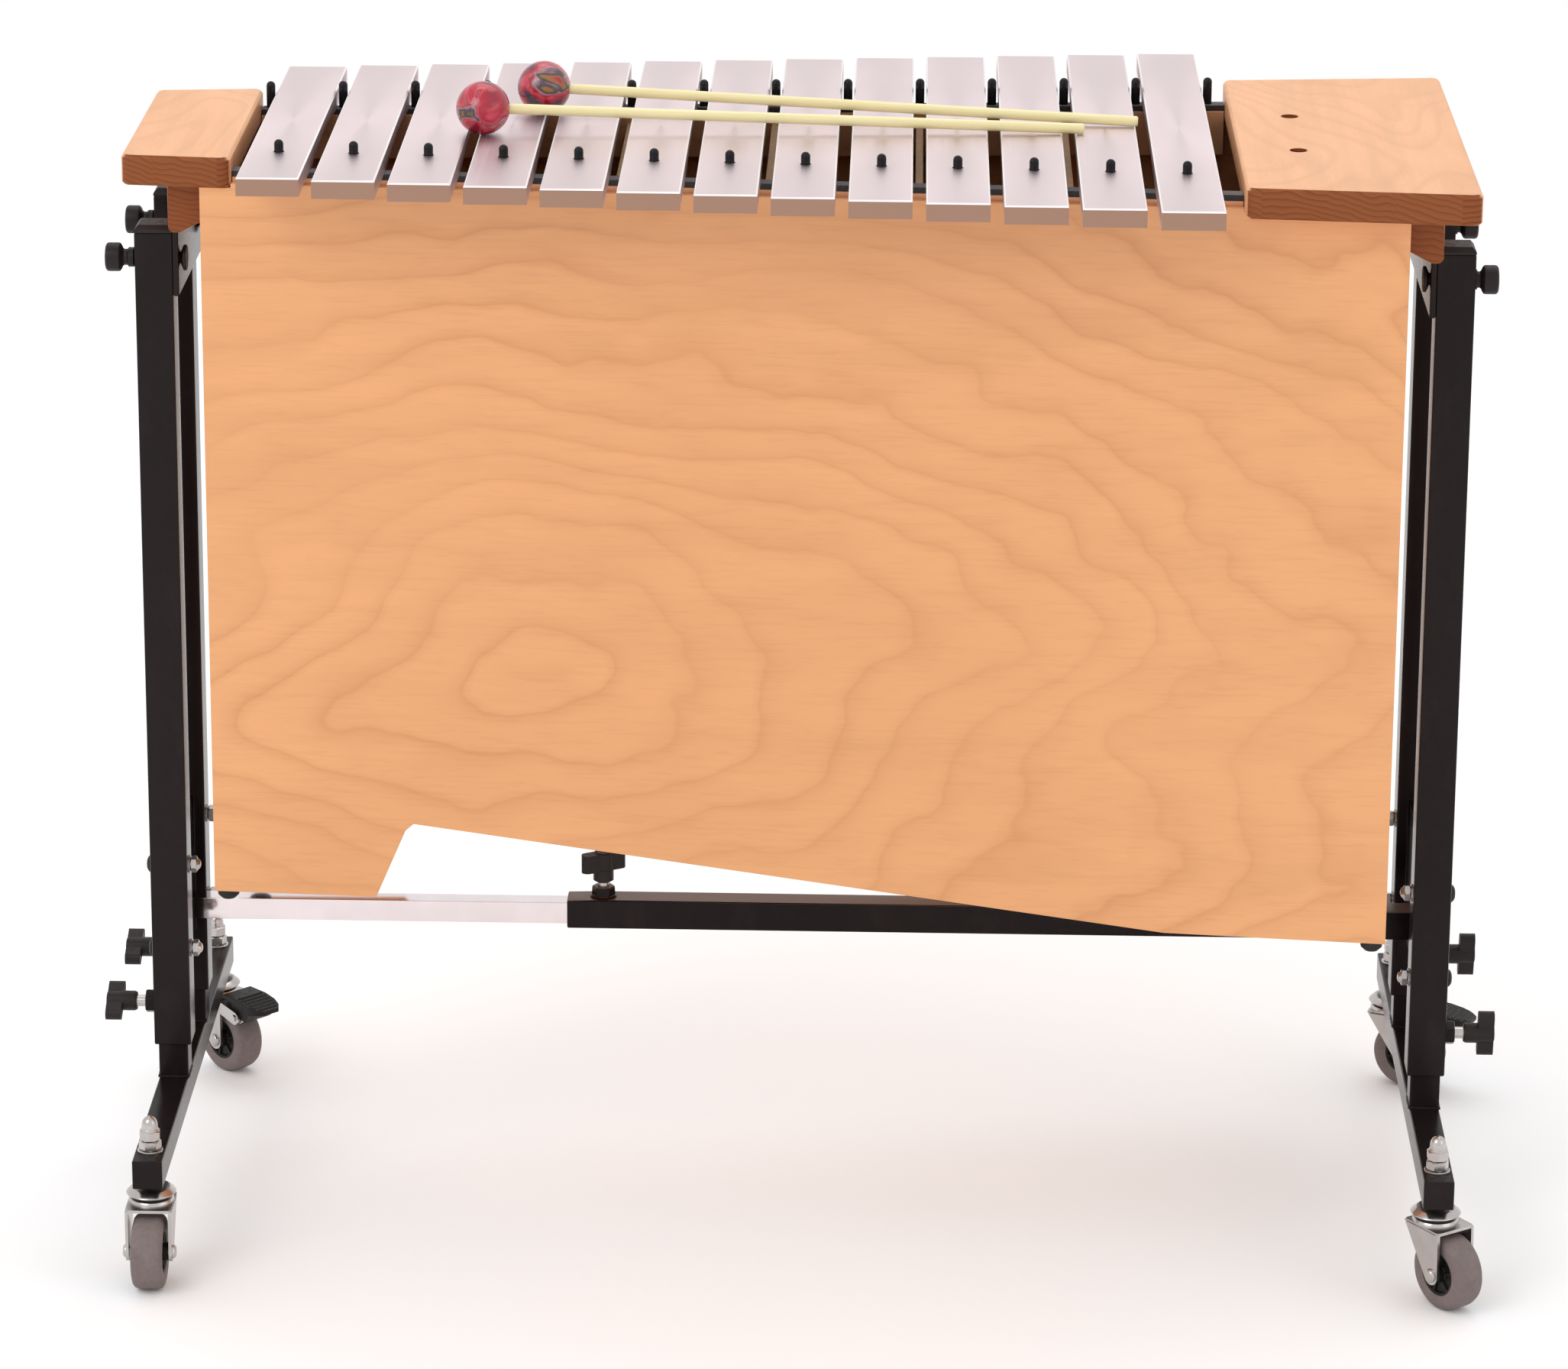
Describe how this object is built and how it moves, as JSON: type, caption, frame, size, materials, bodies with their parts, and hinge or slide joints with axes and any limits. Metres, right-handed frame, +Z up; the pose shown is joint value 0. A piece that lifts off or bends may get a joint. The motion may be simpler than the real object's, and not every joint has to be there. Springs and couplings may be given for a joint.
{
  "type": "bass metallophone on rolling stand",
  "caption": "Diatonic bar instrument: tapered row of flat metal bars on a wooden resonator box, hung on a height- and width-adjustable stand with castors.",
  "frame": {"origin": "on the floor under the middle of the resonator box and of the stand", "axes": "+X towards the bass end, with the longest bars; +Y towards the back panel; +Z up"},
  "size_m": [0.9499, 0.466, 0.7773],
  "materials": {
    "bar_aluminium": "satin, finely brushed",
    "veneer": "satin lacquered light plywood",
    "light_ply": "bare light plywood",
    "beech": "satin lacquered beech",
    "felt": "black felt",
    "pin_sleeve": "black flexible sleeve on a steel pin",
    "black_rubber": "matte",
    "black_steel": "satin black powder coat",
    "chrome_tube": "polished",
    "zinc_steel": "bright zinc plate",
    "knob_plastic": "fine texture black",
    "pedal_plastic": "ribbed black",
    "tyre_grey": "grey rubber tread on a dark hub",
    "mallet_rubber": "glossy marbled rubber",
    "handle_plastic": "pale yellow rod"
  },
  "bodies": {
    "base_left": {"base_frame_left": "black_steel", "castor_studs_left": "zinc_steel"},
    "frame_left": {"outer_posts_left": "black_steel", "post_caps_left": "knob_plastic", "support_plate_left": "black_steel", "frame_bolts_left": "zinc_steel", "crossbar_inner": "chrome_tube"},
    "frame_right": {"outer_posts_right": "black_steel", "post_caps_right": "knob_plastic", "support_plate_right": "black_steel", "frame_bolts_right": "zinc_steel", "crossbar_outer": "black_steel"},
    "base_right": {"base_frame_right": "black_steel", "castor_studs_right": "zinc_steel"},
    "soundbox": {"front_panel": "veneer", "back_panel": "veneer", "end_panels": "veneer", "partitions": "light_ply", "bar_rails": "beech", "felt_strips": "felt", "bar_pins": "pin_sleeve", "end_blocks": "beech", "hanging_cleats": "beech", "rubber_feet": "black_rubber", "bar_01": "bar_aluminium", "bar_02": "bar_aluminium", "bar_03": "bar_aluminium", "bar_04": "bar_aluminium", "bar_05": "bar_aluminium", "bar_06": "bar_aluminium", "bar_07": "bar_aluminium", "bar_08": "bar_aluminium", "bar_09": "bar_aluminium", "bar_10": "bar_aluminium", "bar_11": "bar_aluminium", "bar_12": "bar_aluminium", "bar_13": "bar_aluminium"},
    "mallet_1": {"mallet_1_head": "mallet_rubber", "mallet_1_handle": "handle_plastic"},
    "mallet_2": {"mallet_2_head": "mallet_rubber", "mallet_2_handle": "handle_plastic"},
    "knob_crossbar": {"crossbar_knob": "knob_plastic"},
    "clamp_lf": {"clamp_screw_lf": "knob_plastic"},
    "clamp_lr": {"clamp_screw_lr": "knob_plastic"},
    "clamp_rf": {"clamp_screw_rf": "knob_plastic"},
    "clamp_rr": {"clamp_screw_rr": "knob_plastic"},
    "lock_lf": {"lock_knob_lf": "knob_plastic"},
    "lock_lr": {"lock_knob_lr": "knob_plastic"},
    "lock_rf": {"lock_knob_rf": "knob_plastic"},
    "lock_rr": {"lock_knob_rr": "knob_plastic"},
    "castor_fl": {"castor_fork_fl": "zinc_steel"},
    "wheel_fl": {"castor_wheel_fl": "tyre_grey"},
    "castor_fr": {"castor_fork_fr": "zinc_steel"},
    "wheel_fr": {"castor_wheel_fr": "tyre_grey"},
    "castor_rl": {"castor_fork_rl": "zinc_steel"},
    "wheel_rl": {"castor_wheel_rl": "tyre_grey"},
    "pedal_rl": {"brake_pedal_rl": "pedal_plastic"},
    "castor_rr": {"castor_fork_rr": "zinc_steel"},
    "wheel_rr": {"castor_wheel_rr": "tyre_grey"},
    "pedal_rr": {"brake_pedal_rr": "pedal_plastic"}
  },
  "joints": [
    {"name": "frame_height", "type": "slide", "parent": "base_left", "child": "frame_left", "axis": [0, 0, 1], "range_m": [0, 0.2]},
    {"name": "frame_width", "type": "slide", "parent": "frame_left", "child": "frame_right", "axis": [1, 0, 0], "range_m": [0, 0.12]},
    {"name": "base_right_height", "type": "slide", "parent": "frame_right", "child": "base_right", "axis": [0, 0, 1], "range_m": [-0.2, 0]},
    {"name": "soundbox_lift", "type": "slide", "parent": "frame_left", "child": "soundbox", "axis": [0, 0, 1], "range_m": [0, 0.1]},
    {"name": "mallet_1_lift", "type": "slide", "parent": "soundbox", "child": "mallet_1", "axis": [0, 0, 1], "range_m": [0, 0.15]},
    {"name": "mallet_2_lift", "type": "slide", "parent": "soundbox", "child": "mallet_2", "axis": [0, 0, 1], "range_m": [0, 0.15]},
    {"name": "crossbar_knob_turn", "type": "hinge", "parent": "frame_right", "child": "knob_crossbar", "pos_m": [-0.133, 0, 0.213], "axis": [0, 0, 1], "range_deg": [0, 720]},
    {"name": "clamp_lf_turn", "type": "hinge", "parent": "frame_left", "child": "clamp_lf", "pos_m": [-0.435, -0.052, 0.661], "axis": [-1, 0, 0], "range_deg": [0, 540]},
    {"name": "clamp_lr_turn", "type": "hinge", "parent": "frame_left", "child": "clamp_lr", "pos_m": [-0.435, 0.052, 0.661], "axis": [-1, 0, 0], "range_deg": [0, 540]},
    {"name": "clamp_rf_turn", "type": "hinge", "parent": "frame_right", "child": "clamp_rf", "pos_m": [0.435, -0.075, 0.661], "axis": [1, 0, 0], "range_deg": [0, 540]},
    {"name": "clamp_rr_turn", "type": "hinge", "parent": "frame_right", "child": "clamp_rr", "pos_m": [0.435, 0.075, 0.661], "axis": [1, 0, 0], "range_deg": [0, 540]},
    {"name": "lock_lf_turn", "type": "hinge", "parent": "frame_left", "child": "lock_lf", "pos_m": [-0.435, -0.052, 0.141], "axis": [-1, 0, 0], "range_deg": [0, 720]},
    {"name": "lock_lr_turn", "type": "hinge", "parent": "frame_left", "child": "lock_lr", "pos_m": [-0.435, 0.052, 0.141], "axis": [-1, 0, 0], "range_deg": [0, 720]},
    {"name": "lock_rf_turn", "type": "hinge", "parent": "frame_right", "child": "lock_rf", "pos_m": [0.435, -0.075, 0.141], "axis": [1, 0, 0], "range_deg": [0, 720]},
    {"name": "lock_rr_turn", "type": "hinge", "parent": "frame_right", "child": "lock_rr", "pos_m": [0.435, 0.075, 0.141], "axis": [1, 0, 0], "range_deg": [0, 720]},
    {"name": "castor_fl_swivel", "type": "hinge", "parent": "base_left", "child": "castor_fl", "pos_m": [-0.4225, -0.193, 0.06], "axis": [0, 0, 1], "continuous": true},
    {"name": "wheel_fl_spin", "type": "hinge", "parent": "castor_fl", "child": "wheel_fl", "pos_m": [-0.4225, -0.208, 0.025], "axis": [1, 0, 0], "continuous": true},
    {"name": "castor_fr_swivel", "type": "hinge", "parent": "base_right", "child": "castor_fr", "pos_m": [0.4225, -0.193, 0.06], "axis": [0, 0, 1], "continuous": true},
    {"name": "wheel_fr_spin", "type": "hinge", "parent": "castor_fr", "child": "wheel_fr", "pos_m": [0.4311, -0.20529, 0.025], "axis": [0.8192, 0.5736, 0], "continuous": true},
    {"name": "castor_rl_swivel", "type": "hinge", "parent": "base_left", "child": "castor_rl", "pos_m": [-0.4225, 0.193, 0.06], "axis": [0, 0, 1], "continuous": true},
    {"name": "wheel_rl_spin", "type": "hinge", "parent": "castor_rl", "child": "wheel_rl", "pos_m": [-0.41189, 0.18239, 0.025], "axis": [0.7071, 0.7071, 0], "continuous": true},
    {"name": "brake_rl_press", "type": "hinge", "parent": "castor_rl", "child": "pedal_rl", "pos_m": [-0.39634, 0.16684, 0.048], "axis": [0.7071, 0.7071, 0], "range_deg": [0, 12]},
    {"name": "castor_rr_swivel", "type": "hinge", "parent": "base_right", "child": "castor_rr", "pos_m": [0.4225, 0.193, 0.06], "axis": [0, 0, 1], "continuous": true},
    {"name": "wheel_rr_spin", "type": "hinge", "parent": "castor_rr", "child": "wheel_rr", "pos_m": [0.43609, 0.18666, 0.025], "axis": [0.4226, 0.9063, 0], "continuous": true},
    {"name": "brake_rr_press", "type": "hinge", "parent": "castor_rr", "child": "pedal_rr", "pos_m": [0.45603, 0.17736, 0.048], "axis": [0.4226, 0.9063, 0], "range_deg": [0, 12]}
  ],
  "couplings": [
    {"joint": "base_right_height", "follows": "frame_height", "ratio": -1}
  ]
}
